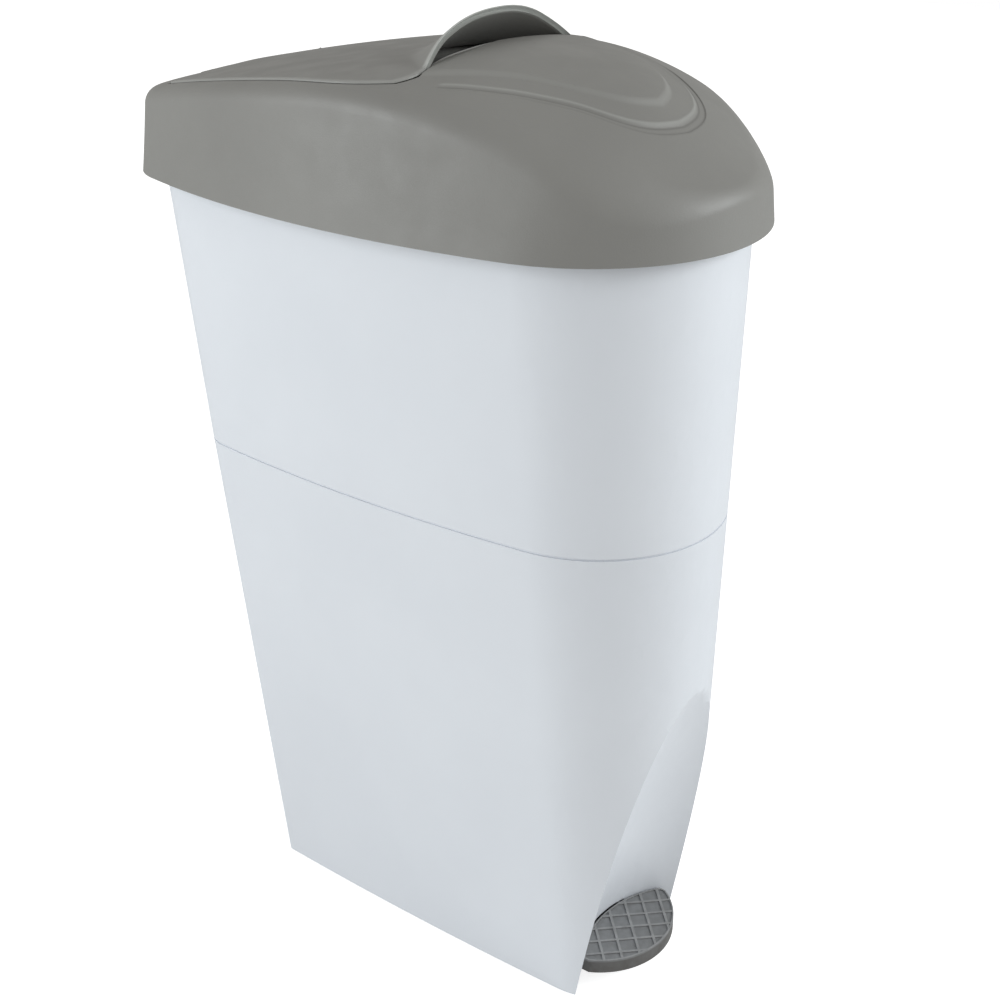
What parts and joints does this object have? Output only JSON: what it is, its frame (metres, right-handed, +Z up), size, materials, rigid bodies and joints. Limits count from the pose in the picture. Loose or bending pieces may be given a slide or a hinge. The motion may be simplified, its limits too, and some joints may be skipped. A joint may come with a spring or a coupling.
{
  "type": "pedal waste bin",
  "caption": "Tall tapered pedal bin with a flat back and round nose; a pedal in the foot recess opens the hinged flap through a lever and push rod, and the cover and bucket lift out.",
  "frame": {"origin": "on the floor, at the middle of the cover's length and width", "axes": "+Z up, the nose and the pedal towards -Y, the flat back towards +Y, +X to the side"},
  "size_m": [0.2326, 0.392, 0.607],
  "materials": {
    "white_casing": "white moulded plastic, fine satin",
    "grey_moulding": "warm grey moulded plastic, fine texture",
    "grey_tread": "grey moulded plastic, matt",
    "plated_steel": "zinc-plated steel",
    "black_plastic": "black moulded plastic",
    "rubber": "matt black rubber",
    "liner_grey": "grey moulded plastic, satin",
    "natural_plastic": "natural acetal"
  },
  "bodies": {
    "bin": {"lower_casing": "white_casing", "upper_casing": "white_casing", "rubber_feet": "rubber", "pivot_bracket": "plated_steel", "bracket_screws": "plated_steel", "pedal_axle": "plated_steel", "axle_clips": "plated_steel", "rod_guide_lower": "black_plastic", "rod_guide_upper": "black_plastic", "guide_screws": "plated_steel", "rod_channel": "white_casing"},
    "pedal": {"pedal_tread": "grey_tread", "pedal_lever": "plated_steel", "tread_screws": "plated_steel", "lever_bushes": "natural_plastic", "link_pin": "plated_steel"},
    "push_rod_body": {"push_rod": "plated_steel", "rod_foot": "natural_plastic", "rod_tip": "natural_plastic"},
    "cover": {"lid_cover": "grey_moulding", "hinge_pin": "plated_steel", "pin_clips": "plated_steel", "flap_buffers": "rubber"},
    "flap": {"lid_flap": "grey_moulding"},
    "bucket": {"inner_bucket": "liner_grey", "bag_ring": "liner_grey"}
  },
  "joints": [
    {"name": "pedal_hinge", "type": "hinge", "parent": "bin", "child": "pedal", "pos_m": [0, -0.04, 0.027], "axis": [1, 0, 0], "range_deg": [0, 6]},
    {"name": "rod_slide", "type": "slide", "parent": "bin", "child": "push_rod_body", "axis": [0, 0.1038, 0.9946], "range_m": [0, 0.01473]},
    {"name": "cover_lift", "type": "slide", "parent": "bin", "child": "cover", "axis": [0, 0, 1], "range_m": [0, 0.5]},
    {"name": "bucket_lift", "type": "slide", "parent": "bin", "child": "bucket", "axis": [0, 0, 1], "range_m": [0, 0.475]},
    {"name": "flap_hinge", "type": "hinge", "parent": "cover", "child": "flap", "pos_m": [0, 0.165, 0.549], "axis": [-1, 0, 0], "range_deg": [0, 66]}
  ],
  "couplings": [
    {"joint": "rod_slide", "follows": "pedal_hinge", "m_per_rad": 0.13974},
    {"joint": "flap_hinge", "follows": "pedal_hinge", "ratio": 11},
    {"joint": "bucket_lift", "follows": "cover_lift", "ratio": 0.95}
  ]
}
